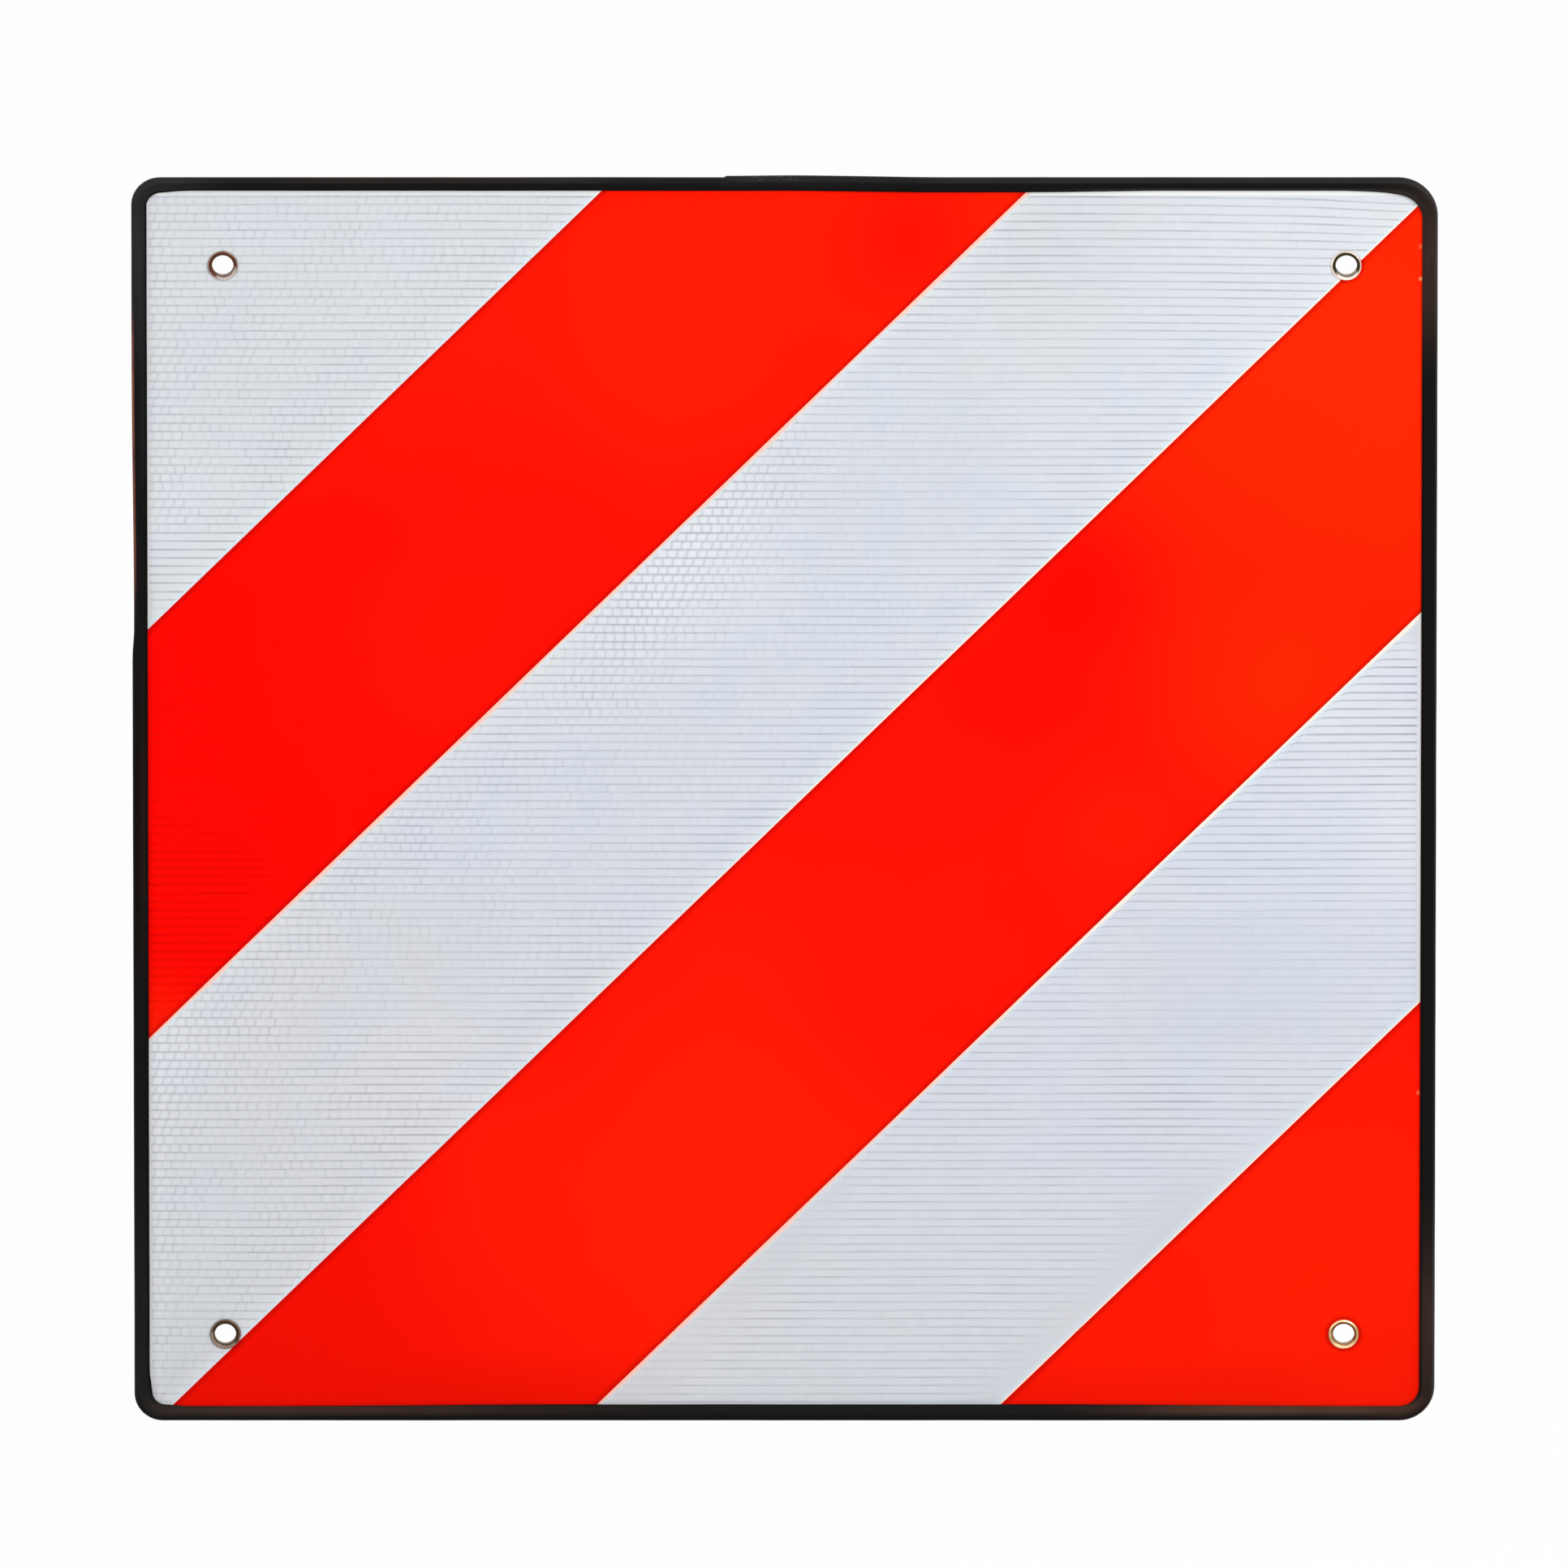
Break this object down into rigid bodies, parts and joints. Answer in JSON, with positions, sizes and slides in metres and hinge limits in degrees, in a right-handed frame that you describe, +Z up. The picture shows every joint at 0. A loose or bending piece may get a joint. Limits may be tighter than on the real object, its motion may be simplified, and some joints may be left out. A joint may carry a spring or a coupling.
{
  "type": "warning panel",
  "caption": "Square rear-overhang warning panel: aluminium sheet with white retroreflective sheeting, slanted red stripes, black rubber edge channel and brass corner eyelets.",
  "frame": {"origin": "middle of the four eyelets, in the back face of the aluminium sheet", "axes": "+X to the right and +Z up as seen from the front; the striped face looks along -Y and the back towards the load along +Y"},
  "size_m": [0.5, 0.0047, 0.5],
  "materials": {
    "mill_aluminium": "plain mill finish",
    "white_sheeting": "retroreflective sheeting with sealed cells",
    "red_film": "transparent red overlay film",
    "black_rubber": "satin extruded rubber",
    "eyelet_brass": "rolled and clinched brass"
  },
  "bodies": {
    "root": {"backing_sheet": "mill_aluminium", "white_sheeting": "white_sheeting", "red_stripe_upper": "red_film", "red_stripe_middle": "red_film", "red_stripe_corner": "red_film", "edge_trim": "black_rubber", "eyelet_top_left": "eyelet_brass", "eyelet_top_right": "eyelet_brass", "eyelet_bottom_left": "eyelet_brass", "eyelet_bottom_right": "eyelet_brass", "eyelet_washer_top_left": "eyelet_brass", "eyelet_washer_top_right": "eyelet_brass", "eyelet_washer_bottom_left": "eyelet_brass", "eyelet_washer_bottom_right": "eyelet_brass"}
  },
  "joints": []
}
